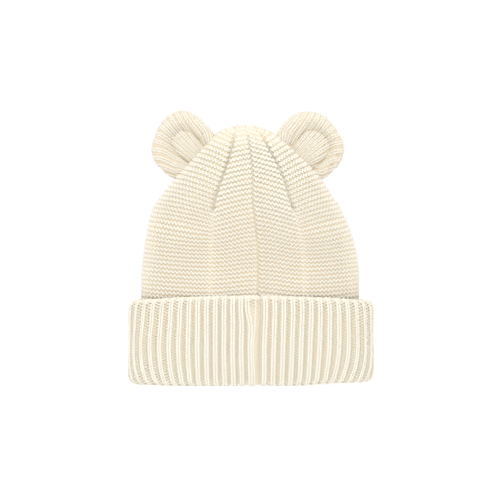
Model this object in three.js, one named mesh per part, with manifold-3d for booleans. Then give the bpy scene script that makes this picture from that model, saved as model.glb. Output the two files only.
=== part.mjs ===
// A baby's knitted winter hat with two round stuffed ears, standing on its turned-up brim.
// The crown is one hollow knitted shell, drawn together at the top by four darts, with a seam down the middle
// of its back. The brim is one ribbed band, folded up on itself, so that it has an inner and an outer layer.
// Millimetres, +Z up, the origin on the surface that the hat stands on, under the middle of the brim.
// The back of the hat faces -Y and the wearer looks towards +Y.
import * as THREE from "three";
import { mergeVertices } from "three/addons/utils/BufferGeometryUtils.js";
import Module from "manifold-3d";

// Crown
const crownHalfWidth = 76.8;
const crownHalfDepth = 39.2;
const crownTop = 181.6;
const crownWall = 3.2;
const crownTuck = 9.8; // how far the crown's lower edge reaches down behind the brim
const ovalPower = 2.5; // 2 is an ellipse, and more is squarer
const creaseDepth = 2.4;
const creaseWidth = 2.6;
const panelBulge = 1.1;
const seamDepth = 0.9;

// Brim
const brimHeight = 58.6; // at the hat's two sides
const brimThickness = 4.2; // of the outer layer, over the ribs
const innerLayerThickness = 3.4;
const sideStandOff = 5; // between the crown and the brim's outer layer, at the hat's two sides
const backStandOff = 3;
const ribRelief = 1.3;
const ribCount = 62;
const ribStretch = 0.6; // how much wider a rib is at the hat's two sides than at its back
const innerRibRelief = 0.6;
const footWidth = 3.6; // of the flat strip that the folded brim stands on
const leftHemLift = 0.6; // how far the fold rises at the hat's left side
const rightHemLift = 2.2;
const edgeRise = 3.8; // how far the upper edge rises in the middle of the back and front
const foldFloor = 8.5; // height of the bottom of the space between the two layers

// Ears
const earHalfWidth = 23.6;
const earHeight = 33.8; // from the side of the crown to the tip
const earFootReach = 14; // how far the foot runs on towards the crown, before it is cut to fit
const earThickness = 12.6; // over the stuffed roll
const panelThickness = 8; // at the middle of the quilted inner panel
const quiltThickness = 4.6; // in the stitched line round the panel

// Clearances
const seatGap = 0.3;

const brimHalfWidth = crownHalfWidth + sideStandOff + brimThickness;
const brimHalfDepth = crownHalfDepth + backStandOff + brimThickness;
const crownFoot = brimHeight - crownTuck;
const crownHeight = crownTop - crownFoot;

// The crown's sections, from its lower edge to its top. rise is a share of the crown's height, width and shift
// are shares of its half width, and depth is a share of its half depth.
const crownSections = [
  { rise: 0, width: 1, depth: 1, shift: -0.01 },
  { rise: 0.105, width: 1, depth: 1.005, shift: -0.01 },
  { rise: 0.21, width: 0.997, depth: 1.015, shift: -0.007 },
  { rise: 0.316, width: 0.979, depth: 1.01, shift: -0.008 },
  { rise: 0.421, width: 0.94, depth: 0.985, shift: -0.018 },
  { rise: 0.526, width: 0.878, depth: 0.94, shift: -0.034 },
  { rise: 0.58, width: 0.832, depth: 0.905, shift: -0.041 },
  { rise: 0.632, width: 0.766, depth: 0.86, shift: -0.04 },
  { rise: 0.684, width: 0.702, depth: 0.8, shift: -0.032 },
  { rise: 0.737, width: 0.627, depth: 0.73, shift: -0.028 },
  { rise: 0.79, width: 0.543, depth: 0.645, shift: -0.027 },
  { rise: 0.842, width: 0.456, depth: 0.555, shift: -0.032 },
  { rise: 0.895, width: 0.375, depth: 0.46, shift: -0.035 },
  { rise: 0.935, width: 0.313, depth: 0.375, shift: -0.036 },
  { rise: 0.967, width: 0.243, depth: 0.29, shift: -0.036 },
  { rise: 0.988, width: 0.155, depth: 0.19, shift: -0.035 },
];
const apexShift = -0.035;

// The creases that run up the crown: where each lies across the half width, whether it is on the back, the
// rise at which it begins, and its depth as a share of the crease depth.
const creases = [
  { across: -0.36, back: true, from: 0.5, depth: 1 },
  { across: 0.5, back: true, from: 0.5, depth: 1 },
  { across: 0.42, back: false, from: 0.52, depth: 0.9 },
  { across: -0.42, back: false, from: 0.52, depth: 0.9 },
];
const seamAcross = 0.085;

// Shallow dents in the soft crown. place is a share of the way round, rise and height are shares of the crown's
// height, and width and depth are shares of its half width.
const dents = [
  { place: 0.855, rise: 0.2, width: 0.24, height: 0.16, depth: 0.026 },
  { place: 0.63, rise: 0.16, width: 0.2, height: 0.12, depth: 0.018 },
  { place: 0.36, rise: 0.22, width: 0.26, height: 0.16, depth: 0.024 },
  { place: 0.12, rise: 0.18, width: 0.22, height: 0.14, depth: 0.02 },
];

// Each ear's foot runs along the side of the crown between two rises. width and height are shares of the ear's
// half width and height. panel and panelReach are the half width and length of its quilted panel, and shift
// moves the panel to the hat's right along the foot, all as shares of that ear's own half width and height.
const ears = [
  {
    name: "ear_left",
    side: -1,
    from: 0.732,
    to: 0.951,
    width: 0.965,
    height: 0.985,
    panel: 0.39,
    panelReach: 0.6,
    shift: 0.095,
  },
  {
    name: "ear_right",
    side: 1,
    from: 0.726,
    to: 0.943,
    width: 1.025,
    height: 0.99,
    panel: 0.48,
    panelReach: 0.66,
    shift: 0.085,
  },
];

const smooth = (x) => {
  const t = Math.min(1, Math.max(0, x));
  return t * t * (3 - 2 * t);
};

// A point of the unit oval at an angle from +X, counter-clockwise seen from above.
function ovalPoint(angle) {
  const [c, s] = [Math.cos(angle), Math.sin(angle)];
  const power = 2 / ovalPower;
  return [Math.sign(c) * Math.abs(c) ** power, Math.sign(s) * Math.abs(s) ** power];
}

// The way round an oval of these half axes as angles at even steps of a running measure. weight gives how much
// a millimetre counts at a point, so that ribs can be wider at the sides.
function ovalRuler(halfWidth, halfDepth, weight) {
  const fine = 1440;
  const reached = [0];
  for (let i = 0; i < fine; i++) {
    const [x0, y0] = ovalPoint((i / fine) * 2 * Math.PI);
    const [x1, y1] = ovalPoint(((i + 1) / fine) * 2 * Math.PI);
    const step = Math.hypot((x1 - x0) * halfWidth, (y1 - y0) * halfDepth);
    reached.push(reached[i] + step * weight((x0 + x1) / 2));
  }
  const total = reached[fine];
  const angleAt = (share) => {
    const wanted = (share - Math.floor(share)) * total;
    let i = 0;
    while (i < fine - 1 && reached[i + 1] < wanted) i++;
    const part = (wanted - reached[i]) / (reached[i + 1] - reached[i]);
    return ((i + part) / fine) * 2 * Math.PI;
  };
  const shareAt = (angle) => reached[Math.round((angle / (2 * Math.PI)) * fine)] / total;
  return { total, angleAt, shareAt };
}

const crownRuler = ovalRuler(crownHalfWidth, crownHalfDepth, () => 1);
const ribRuler = ovalRuler(brimHalfWidth, brimHalfDepth, (x) => 1 / (1 + ribStretch * x ** 6));

// The share of the way round the crown at a place across its back or front.
function shareAcross(across, back) {
  const angle = Math.acos(Math.sign(across) * Math.abs(across) ** (ovalPower / 2));
  return crownRuler.shareAt(back ? 2 * Math.PI - angle : angle);
}

const creaseShares = creases.map((crease) => shareAcross(crease.across, crease.back));
const seamShare = shareAcross(seamAcross, true);

// The shortest way between two shares of a closed round, with its sign.
const shareBetween = (a, b) => a - b - Math.round(a - b);

// How far the crown's surface stands out from its plain section, in millimetres.
function crownRelief(share, section) {
  const round = crownRuler.total * section.width;
  let relief = 0;
  let nearest = Infinity;
  creases.forEach((crease, i) => {
    const away = shareBetween(share, creaseShares[i]) * round;
    const open = smooth((section.rise - crease.from) / 0.12) * smooth((1 - section.rise) / 0.12);
    relief -= creaseDepth * crease.depth * open * Math.exp(-((away / creaseWidth) ** 2));
    nearest = Math.min(nearest, Math.abs(away) / round);
  });
  const upper = smooth((section.rise - 0.3) / 0.4) * smooth((1 - section.rise) / 0.2);
  relief += panelBulge * upper * smooth(nearest / 0.1);
  const seamAway = shareBetween(share, seamShare) * round;
  relief -= seamDepth * smooth((1 - section.rise) / 0.1) * Math.exp(-((seamAway / creaseWidth) ** 2));
  for (const dent of dents) {
    const across = (shareBetween(share, dent.place) * round) / (dent.width * crownHalfWidth);
    const up = (section.rise - dent.rise) / dent.height;
    relief -= dent.depth * crownHalfWidth * Math.exp(-(across ** 2) - up ** 2);
  }
  return relief;
}

// A point of the crown's outer face, with its relief.
function crownPoint(share, section) {
  const [x, y] = ovalPoint(crownRuler.angleAt(share));
  const relief = crownRelief(share, section);
  return new THREE.Vector3(
    crownHalfWidth * section.shift + x * (crownHalfWidth * section.width + relief),
    y * (crownHalfDepth * section.depth + relief),
    crownFoot + crownHeight * section.rise,
  );
}

// The section at any rise, between the rows of the table.
function sectionAt(rise) {
  const last = crownSections.length - 1;
  const i = Math.min(last - 1, crownSections.findLastIndex((row) => row.rise <= rise));
  const [low, high] = [crownSections[i], crownSections[i + 1]];
  const t = (rise - low.rise) / (high.rise - low.rise);
  const between = (key) => low[key] + (high[key] - low[key]) * t;
  return { rise, width: between("width"), depth: between("depth"), shift: between("shift") };
}

// Closes a list of rings of points, each with as many points, into one surface. With two end points the rings
// run from one to the other, and without them the last ring joins the first.
function lofted(rings, ends) {
  const size = rings[0].length;
  const points = rings.flat();
  const faces = [];
  const quad = (a, b, c, d) => faces.push(a, b, c, a, c, d);
  const spans = ends ? rings.length - 1 : rings.length;
  for (let r = 0; r < spans; r++) {
    const next = (r + 1) % rings.length;
    for (let i = 0; i < size; i++) {
      const j = (i + 1) % size;
      quad(r * size + i, r * size + j, next * size + j, next * size + i);
    }
  }
  if (ends) {
    const [first, last] = [points.length, points.length + 1];
    points.push(...ends);
    const top = (rings.length - 1) * size;
    for (let i = 0; i < size; i++) {
      const j = (i + 1) % size;
      faces.push(first, j, i, last, top + i, top + j);
    }
  }
  return facingOut(points, faces);
}

// A geometry of these points and faces, with the faces turned round if they point in.
function facingOut(points, faces) {
  let volume = 0;
  for (let i = 0; i < faces.length; i += 3) {
    const [a, b, c] = [points[faces[i]], points[faces[i + 1]], points[faces[i + 2]]];
    volume += a.dot(new THREE.Vector3().crossVectors(b, c));
  }
  if (volume < 0) {
    for (let i = 0; i < faces.length; i += 3) [faces[i + 1], faces[i + 2]] = [faces[i + 2], faces[i + 1]];
  }
  const geometry = new THREE.BufferGeometry().setFromPoints(points);
  geometry.setIndex(faces);
  return geometry;
}

const wasm = await Module();
wasm.setup();

function solidOf(geometry) {
  const merged = mergeVertices(geometry, 1e-4);
  const mesh = new wasm.Mesh({
    numProp: 3,
    vertProperties: merged.attributes.position.array,
    triVerts: new Uint32Array(merged.index.array),
  });
  return new wasm.Manifold(mesh);
}

function geometryOf(solid) {
  const mesh = solid.getMesh();
  const geometry = new THREE.BufferGeometry();
  geometry.setAttribute("position", new THREE.BufferAttribute(mesh.vertProperties, 3));
  geometry.setIndex(new THREE.BufferAttribute(mesh.triVerts, 1));
  return geometry;
}

// The places round the crown that carry its points: even steps between the creases, the seam and the two
// sides, with a pair of points at the shoulders of each crease and of the seam.
function crownStations() {
  const step = 7;
  const shoulder = creaseWidth / crownRuler.total;
  const sharp = [...creaseShares, seamShare];
  const keys = [0, 0.5];
  for (const share of sharp) keys.push(share - shoulder * 1.3, share, share + shoulder * 1.3);
  const sorted = keys.map((key) => key - Math.floor(key)).sort((a, b) => a - b);
  return sorted.flatMap((start, i) => {
    const end = i + 1 < sorted.length ? sorted[i + 1] : sorted[0] + 1;
    const count = Math.max(1, Math.round(((end - start) * crownRuler.total) / step));
    return Array.from({ length: count }, (_, k) => start + ((end - start) * k) / count);
  });
}

const stations = crownStations();
const apex = new THREE.Vector3(crownHalfWidth * apexShift, 0, crownTop);

// The crown's outer face as rings, moved in along its normals by an inset.
function crownRings(inset) {
  const rings = crownSections.map((section) => stations.map((share) => crownPoint(share, section)));
  return rings.map((ring, r) =>
    ring.map((point, i) => {
      const size = ring.length;
      const round = new THREE.Vector3().subVectors(ring[(i + 1) % size], ring[(i + size - 1) % size]);
      const above = r + 1 < rings.length ? rings[r + 1][i] : apex;
      const below = r > 0 ? rings[r - 1][i] : point;
      const up = new THREE.Vector3().subVectors(above, below);
      const normal = new THREE.Vector3().crossVectors(round, up).normalize();
      const moved = point.clone().addScaledVector(normal, -inset);
      if (r === 0) moved.z = point.z;
      return moved;
    }),
  );
}

function crownGeometry() {
  const outer = crownRings(0);
  const inner = crownRings(crownWall);
  const innerApex = apex.clone().setZ(apex.z - crownWall);
  return lofted([...outer.reverse(), ...inner], [apex, innerApex]);
}

// The crown as a block that is closed below, a seat gap larger than the real one, which cuts the ears' feet.
function crownPlug() {
  const rings = crownRings(-seatGap);
  const foot = new THREE.Vector3(apex.x, 0, crownFoot);
  return solidOf(lofted(rings, [foot, apex.clone().setZ(apex.z + seatGap)]));
}

// The brim's profile, once round its wall: up the outside, over the edge, down into the fold and back over the
// inner layer. inset is the way in through the two layers, space is the way across the space between them as a
// share of the stand-off, rib is the height of the ribs and fold how far a point follows the lift of the fold.
function brimProfile() {
  const layers = brimThickness + innerLayerThickness;
  const innerTop = crownFoot - seatGap;
  return [
    { z: 0, inset: (layers - footWidth) / 2, space: 0.5, rib: 0, fold: 1 },
    { z: brimHeight * 0.026, inset: layers * 0.13, space: 0.13, rib: ribRelief, fold: 1 },
    { z: brimHeight * 0.11, inset: layers * 0.02, space: 0, rib: ribRelief, fold: 1 },
    { z: brimHeight * 0.25, inset: 0, space: 0, rib: ribRelief, fold: 0.6 },
    { z: brimHeight * 0.55, inset: layers * 0.07, space: 0, rib: ribRelief, fold: 0 },
    { z: brimHeight * 0.9, inset: layers * 0.03, space: 0, rib: ribRelief, fold: 0 },
    { z: brimHeight, inset: brimThickness * 0.45, space: 0, rib: ribRelief * 0.3, fold: 0 },
    { z: brimHeight - brimThickness * 0.25, inset: brimThickness, space: 0, rib: 0, fold: 0 },
    { z: foldFloor, inset: brimThickness, space: 0.15, rib: 0, fold: 1 },
    { z: foldFloor, inset: brimThickness, space: 0.9, rib: 0, fold: 1 },
    { z: innerTop, inset: brimThickness, space: 1, rib: 0, fold: 0 },
    { z: innerTop, inset: layers, space: 1, rib: 0, fold: 0 },
    { z: brimHeight * 0.15, inset: layers * 0.97, space: 1, rib: -innerRibRelief, fold: 0.8 },
    { z: brimHeight * 0.02, inset: layers * 0.87, space: 0.85, rib: -innerRibRelief, fold: 1 },
    { z: 0, inset: (layers + footWidth) / 2, space: 0.5, rib: 0, fold: 1 },
  ];
}

// The places round the brim that carry its points: for each rib the two sides of its top and the valley
// beside it.
const ribStations = Array.from({ length: ribCount }, (_, rib) => [
  { share: (rib - 0.2) / ribCount, valley: 0 },
  { share: (rib + 0.2) / ribCount, valley: 0 },
  { share: (rib + 0.5) / ribCount, valley: 1 },
]).flat();

function brimGeometry() {
  const rings = brimProfile().map((row) =>
    ribStations.map(({ share, valley }) => {
      const [x, y] = ovalPoint(ribRuler.angleAt(share));
      const inset = row.inset + valley * row.rib;
      const sideLift = x < 0 ? leftHemLift : rightHemLift;
      const lift = sideLift * row.fold * smooth((Math.abs(x) - 0.35) / 0.65);
      const nearEdge = row.space < 0.5 ? smooth((row.z / brimHeight - 0.5) / 0.5) : 0;
      const rise = edgeRise * nearEdge * (1 - x * x);
      return new THREE.Vector3(
        x * (brimHalfWidth - inset - row.space * sideStandOff),
        y * (brimHalfDepth - inset - row.space * backStandOff),
        row.z + lift + rise,
      );
    }),
  );
  return lofted(rings);
}

// A rounded D in the ear's own plane: a half that reaches the height beyond its widest place, and a half that
// runs down past the foot, so that its sides stay nearly straight where they are sewn on. The powers say how
// square each half is.
function roundedD(halfWidth, height, widestShare, footReach, tipPower, footPower, count) {
  const widest = height * widestShare;
  return Array.from({ length: count }, (_, i) => {
    const angle = (i / count) * 2 * Math.PI;
    const [c, s] = [Math.cos(angle), Math.sin(angle)];
    const power = 2 / (s >= 0 ? tipPower : footPower);
    const x = Math.sign(c) * Math.abs(c) ** power * halfWidth;
    const reach = Math.abs(s) ** power;
    return new THREE.Vector2(x, widest + reach * (s >= 0 ? height - widest : -widest - footReach));
  });
}

// How thick the ear is from its rim to the stitched line, and from there to the middle of its panel. part is
// the way along that stretch, and thickness a share of the stretch's own full thickness.
const rollProfile = [
  { part: 0.06, thickness: 0.5 },
  { part: 0.22, thickness: 0.86 },
  { part: 0.45, thickness: 1 },
  { part: 0.72, thickness: 0.84 },
];
const panelProfile = [
  { part: 0.25, thickness: 0.86 },
  { part: 0.6, thickness: 1 },
];

function earGeometry(ear) {
  const count = 36;
  const halfWidth = earHalfWidth * ear.width;
  const height = earHeight * ear.height;
  const panelHeight = height * ear.panelReach;
  const shift = halfWidth * ear.shift;
  const rim = roundedD(halfWidth, height, 0.37, earFootReach, 2, 2.6, count);
  const line = roundedD(halfWidth * ear.panel, panelHeight, 0.45, earFootReach * 0.8, 2.6, 2.6, count);
  line.forEach((point) => point.setX(point.x + shift));
  const middle = new THREE.Vector2(shift, panelHeight * 0.3);
  const across = (from, to, part, half) =>
    from.map((point, i) => {
      const flat = point.clone().lerp(Array.isArray(to) ? to[i] : to, part);
      return new THREE.Vector3(flat.x, half, flat.y);
    });
  const front = [
    ...rollProfile.map((row) => across(rim, line, row.part, (earThickness / 2) * row.thickness)),
    across(line, middle, 0, quiltThickness / 2),
    ...panelProfile.map((row) => across(line, middle, row.part, (panelThickness / 2) * row.thickness)),
  ];
  const mirrored = (ring) => ring.map((point) => new THREE.Vector3(point.x, -point.y, point.z));
  const back = front.map(mirrored);
  const edge = across(rim, rim, 0, 0);
  const end = new THREE.Vector3(middle.x, panelThickness / 2, middle.y);
  return lofted([...back.reverse(), edge, ...front], [end.clone().setY(-end.y), end]);
}

// The ear's frame: its foot's middle on the side of the crown, and its turn in the plane of the hat's face.
function earPlacement(ear) {
  const share = ear.side > 0 ? 0 : 0.5;
  const low = crownPoint(share, sectionAt(ear.from));
  const high = crownPoint(share, sectionAt(ear.to));
  const middle = low.clone().add(high).multiplyScalar(0.5);
  const turn = Math.atan2(high.z - low.z, ear.side * (low.x - high.x));
  return { middle, turn: ear.side * turn };
}

const knit = (color) => new THREE.MeshStandardMaterial({ color, roughness: 0.95, metalness: 0 });
const crownKnit = knit(0xf0e7d2);
const ribKnit = knit(0xf2e9d5);
const earKnit = knit(0xefe6d1);

function named(name, geometry, material) {
  const mesh = new THREE.Mesh(geometry, material);
  mesh.name = name;
  return mesh;
}

const hat = new THREE.Group();
hat.add(named("crown", crownGeometry(), crownKnit));
hat.add(named("brim", brimGeometry(), ribKnit));

const plug = crownPlug();
for (const ear of ears) {
  const { middle, turn } = earPlacement(ear);
  const placed = earGeometry(ear).applyMatrix4(new THREE.Matrix4().makeRotationY(turn));
  placed.translate(middle.x, middle.y, middle.z);
  hat.add(named(ear.name, geometryOf(solidOf(placed).subtract(plug)), earKnit));
}

export default hat;
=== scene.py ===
import math

import bpy
import numpy as np
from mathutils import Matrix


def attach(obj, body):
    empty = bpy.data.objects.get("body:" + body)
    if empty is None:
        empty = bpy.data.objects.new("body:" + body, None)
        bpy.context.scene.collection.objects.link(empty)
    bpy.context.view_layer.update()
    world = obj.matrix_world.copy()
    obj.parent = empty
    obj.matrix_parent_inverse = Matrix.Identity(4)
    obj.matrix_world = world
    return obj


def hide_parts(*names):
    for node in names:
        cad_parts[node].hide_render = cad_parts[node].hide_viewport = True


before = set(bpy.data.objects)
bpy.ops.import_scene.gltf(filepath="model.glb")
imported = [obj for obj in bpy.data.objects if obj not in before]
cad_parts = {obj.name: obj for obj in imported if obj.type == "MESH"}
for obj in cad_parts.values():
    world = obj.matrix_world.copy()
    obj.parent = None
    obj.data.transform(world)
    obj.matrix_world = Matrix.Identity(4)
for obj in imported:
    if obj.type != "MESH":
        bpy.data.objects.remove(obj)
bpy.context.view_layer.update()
scene = bpy.context.scene

# Camera, square on to the back of the hat and level with the middle of the photo
CAMERA_DISTANCE = 2.4
CAMERA_SIDEWAYS = -0.0007
CAMERA_HEIGHT = 0.0939
VIEW_WIDTH = 0.35  # what the picture spans where the hat stands
camera_data = bpy.data.cameras.new("camera")
camera_data.lens = camera_data.sensor_width * CAMERA_DISTANCE / VIEW_WIDTH
camera_data.clip_end = 30
camera = bpy.data.objects.new("camera", camera_data)
camera.location = (CAMERA_SIDEWAYS, -CAMERA_DISTANCE, CAMERA_HEIGHT)
camera.rotation_euler = (math.pi / 2, 0, 0)
scene.collection.objects.link(camera)
scene.camera = camera

MM = 0.001
rng = np.random.default_rng(7)

# Crown
CROWN_HALF_WIDTH = 76.8 * MM
CROWN_HALF_DEPTH = 39.2 * MM
CROWN_TOP = 181.6 * MM
CROWN_FOOT = 48.8 * MM
CROWN_HEIGHT = CROWN_TOP - CROWN_FOOT
CROWN_WALL = 3.2 * MM
OVAL_POWER = 2.5
CREASE_DEPTH = 2.8 * MM
CREASE_WIDTH = 1.2 * MM
DART_HOLE_DEPTH = 1.6 * MM
DART_HOLE_RISE = 0.555
PANEL_BULGE = 1.1 * MM
SEAM_DEPTH = 1.5 * MM
SEAM_WIDTH = 1.0 * MM
SEAM_ASIDE = 0.7 * MM  # the groove lies on the left of the seam and the raised edge on its right
SEAM_EDGE = 0.5 * MM
FOOT_LEAN = 3.9 * MM  # how far the crown leans out against the brim's upper edge
FOOT_LEAN_RISE = 0.11

# rise is a share of the crown's height, and the others are shares of its half width and half depth
CROWN_RISE = [0, 0.105, 0.21, 0.316, 0.421, 0.526, 0.58, 0.632, 0.684, 0.737, 0.79, 0.842, 0.895, 0.935, 0.967, 0.988, 1]
CROWN_WIDTH = [1, 1, 0.997, 0.979, 0.94, 0.878, 0.832, 0.766, 0.702, 0.627, 0.543, 0.456, 0.375, 0.313, 0.243, 0.155, 0]
CROWN_DEPTH = [1, 1.005, 1.015, 1.01, 0.985, 0.94, 0.905, 0.86, 0.8, 0.73, 0.645, 0.555, 0.46, 0.375, 0.29, 0.19, 0]
CROWN_SHIFT = [-0.01, -0.01, -0.007, -0.008, -0.018, -0.034, -0.041, -0.04, -0.032, -0.028, -0.027, -0.032, -0.038,
               -0.045, -0.055, -0.06, -0.065]

# across the half width, on the back or not, the rise where it begins, depth
CREASES = [(-0.36, True, 0.52, 1.0), (0.5, True, 0.52, 1.0), (0.42, False, 0.54, 0.9), (-0.42, False, 0.54, 0.9)]
SEAM_ACROSS = 0.085
# place round, rise, width, height, depth
DENTS = [(0.855, 0.2, 0.24, 0.16, 0.026), (0.63, 0.16, 0.2, 0.12, 0.018),
         (0.36, 0.22, 0.26, 0.16, 0.024), (0.12, 0.18, 0.22, 0.14, 0.02)]

# Garter rows
ROW_PITCH_LOW = 3.08 * MM
ROW_PITCH_HIGH = 3.36 * MM
STITCH_WIDTH = 2.84 * MM
FIRST_ROW = 7.76 * MM  # above the crown's foot, which the brim hides
ROW_DIP_HEIGHT = [40, 58.9, 75.7, 85.5, 95.3, 105.1, 114.9, 124.7, 134.5, 144.3, 163.9, 177.9, 184]
ROW_DIP = [2.2, 2.6, 3.4, 3.8, 4.6, 6.3, 8.3, 9.0, 8.4, 7, 4, 1.5, 0]
SIDE_ROW_DIP = [2.2, 2.6, 3.4, 3.8, 4.6, 6.3, 8.3, 9.4, 10, 10.2, 8.4, 5.8, 4.8]
SIDE_ROW_DROP = 6 * MM  # how much lower a side panel's upper rows are at the darts than in its middle
SIDE_ROW_TIGHTEN = 0.11
SIDE_TOP_PACKING = 1.7
ROW_END = 0.3 * MM  # below the crown's top
RIDGE_RADIUS = 0.51 * MM
RIDGE_WAVE = 0.72 * MM
RIDGE_SINK = 0.55 * MM  # at the hat's sides
DIVE = 0.7 * MM  # where a row ends at a dart
SEAM_DIVES = (1.0 * MM, 0)  # where a row ends at the seam, on its left and on its right
DIVE_WIDTH = 1.3 * MM
GROUND_DEPTH = 1.0 * MM  # under the crown's stitches
GROUND_DEPTH_TOP = 0.5 * MM
SOFT_TOP_RISE = 0.84
RIDGE_POINTS = 8  # to the stitch
RING_SIDES = 6

# Brim
BRIM_HEIGHT = 58.6 * MM
BRIM_THICKNESS = 4.2 * MM
INNER_THICKNESS = 3.4 * MM
SIDE_STAND_OFF = 5 * MM
BACK_STAND_OFF = 3 * MM
BRIM_HALF_WIDTH = CROWN_HALF_WIDTH + SIDE_STAND_OFF + BRIM_THICKNESS
BRIM_HALF_DEPTH = CROWN_HALF_DEPTH + BACK_STAND_OFF + BRIM_THICKNESS
LEFT_HEM_LIFT = 0.6 * MM
RIGHT_HEM_LIFT = 2.2 * MM
EDGE_RISE = 3.8 * MM
RIB_COUNT = 62
RIB_STRETCH = 0.6
COURSE = 1.96 * MM
STRAND_RADIUS = 0.69 * MM
STRAND_OUTER = 1.32 * MM  # from the middle of the rib to where a stitch ends


def smooth(x):
    t = np.clip(x, 0, 1)
    return t * t * (3 - 2 * t)


def unit(v):
    return v / np.maximum(np.linalg.norm(v, axis=-1, keepdims=True), 1e-12)


def curve(x, xs, ys):
    """A smooth curve through a table's points, held level beyond its ends."""
    xs, ys = np.asarray(xs, float), np.asarray(ys, float)
    slope = np.gradient(ys, xs)
    i = np.clip(np.searchsorted(xs, x) - 1, 0, len(xs) - 2)
    step = xs[i + 1] - xs[i]
    t = np.clip((x - xs[i]) / step, 0, 1)
    low = (1 + 2 * t) * (1 - t) ** 2 * ys[i] + t * (1 - t) ** 2 * step * slope[i]
    return low + t * t * (3 - 2 * t) * ys[i + 1] - t * t * (1 - t) * step * slope[i + 1]


def oval_point(angle):
    c, s = np.cos(angle), np.sin(angle)
    power = 2 / OVAL_POWER
    return np.sign(c) * np.abs(c) ** power, np.sign(s) * np.abs(s) ** power


class Ruler:
    """The way round an oval, as shares of a running measure in which weight says what a millimetre counts."""

    def __init__(self, half_width, half_depth, weight):
        self.angle = np.linspace(0, 2 * math.pi, 5761)
        x, y = oval_point(self.angle)
        middle = (x[1:] + x[:-1]) / 2
        steps = np.hypot(np.diff(x) * half_width, np.diff(y) * half_depth) * weight(middle)
        self.reached = np.concatenate([[0], np.cumsum(steps)])
        self.total = self.reached[-1]

    def angle_at(self, share):
        return np.interp(np.mod(share, 1) * self.total, self.reached, self.angle)

    def share_across(self, across, back):
        angle = math.acos(math.copysign(abs(across) ** (OVAL_POWER / 2), across))
        return float(np.interp(2 * math.pi - angle if back else angle, self.angle, self.reached) / self.total)


def sideways_weight(half_width, half_depth, least):
    """What a millimetre counts where it runs mostly towards the hat's front or back, so that stitches widen."""
    def weight(x):
        x = np.clip(np.abs(x), 1e-6, 0.99999)
        slope = half_depth / half_width * x ** (OVAL_POWER - 1) / (1 - x ** OVAL_POWER) ** (1 - 1 / OVAL_POWER)
        return np.maximum(1 / np.hypot(1, slope), least)
    return weight


crown_ruler = Ruler(CROWN_HALF_WIDTH, CROWN_HALF_DEPTH, np.ones_like)
rib_ruler = Ruler(BRIM_HALF_WIDTH, BRIM_HALF_DEPTH, lambda x: 1 / (1 + RIB_STRETCH * x ** 6))
crease_shares = [crown_ruler.share_across(across, back) for across, back, _, _ in CREASES]
seam_share = crown_ruler.share_across(SEAM_ACROSS, True)
DART_LEFT, DART_RIGHT, DART_FRONT_RIGHT, DART_FRONT_LEFT = crease_shares


def between(a, b):
    return a - b - np.round(a - b)


# Mesh building
class Builder:
    """Gathers tubes and sheets into one mesh."""

    def __init__(self):
        self.points, self.quads, self.count = [], [], 0

    def add(self, points, quads):
        self.points.append(points.reshape(-1, 3))
        self.quads.append(quads.reshape(-1, 4) + self.count)
        self.count += self.points[-1].shape[0]

    def tubes(self, centre, out, radius, flat=1.0):
        """Closed tubes along centre (tubes, points, 3), with out as the way that their flattened side faces."""
        tubes, points, _ = centre.shape
        along = unit(np.gradient(centre, axis=1))
        out = unit(out - along * np.sum(out * along, axis=-1, keepdims=True))
        across = np.cross(along, out)
        turn = np.arange(RING_SIDES) / RING_SIDES * 2 * math.pi
        radius = np.broadcast_to(radius, (tubes, points))[..., None, None]
        ring = out[:, :, None] * (np.cos(turn) * flat)[:, None] + across[:, :, None] * np.sin(turn)[:, None]
        solid = centre[:, :, None] + ring * radius
        start = (np.arange(tubes) * points)[:, None, None]
        p = np.arange(points - 1)[None, :, None]
        j = np.arange(RING_SIDES)[None, None, :]
        k = (j + 1) % RING_SIDES
        low, high = (start + p) * RING_SIDES, (start + p + 1) * RING_SIDES
        walls = np.stack([low + j, low + k, high + k, high + j], axis=-1)
        first, last = (start[..., 0] * RING_SIDES), (start[..., 0] + points - 1) * RING_SIDES
        caps = [[0, 3, 2, 1], [0, 5, 4, 3]], [[0, 1, 2, 3], [0, 3, 4, 5]]
        ends = [edge[:, :, None] + np.array(cap)[None] for edge, cap in zip((first, last), caps)]
        self.add(solid, np.concatenate([walls.reshape(-1, 4)] + [end.reshape(-1, 4) for end in ends]))

    def loops(self, rings):
        """A closed skin over a cycle of rings (rings, points, 3), such as a folded wall."""
        count, size, _ = rings.shape
        r = np.arange(count)[:, None] * size
        n = (np.arange(count)[:, None] + 1) % count * size
        j = np.arange(size)[None]
        k = (j + 1) % size
        self.add(rings, np.stack([r + j, r + k, n + k, n + j], axis=-1))

    def mesh(self, name, material):
        points = np.concatenate(self.points)
        quads = np.concatenate(self.quads)
        mesh = bpy.data.meshes.new(name)
        mesh.vertices.add(len(points))
        mesh.vertices.foreach_set("co", points.astype(np.float32).ravel())
        mesh.loops.add(quads.size)
        mesh.loops.foreach_set("vertex_index", quads.astype(np.int32).ravel())
        mesh.polygons.add(len(quads))
        mesh.polygons.foreach_set("loop_start", np.arange(0, quads.size, 4, dtype=np.int32))
        mesh.polygons.foreach_set("use_smooth", np.ones(len(quads), bool))
        mesh.update(calc_edges=True)
        mesh.validate()
        mesh.materials.append(material)
        piece = bpy.data.objects.new(name, mesh)
        scene.collection.objects.link(piece)
        return piece


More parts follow.
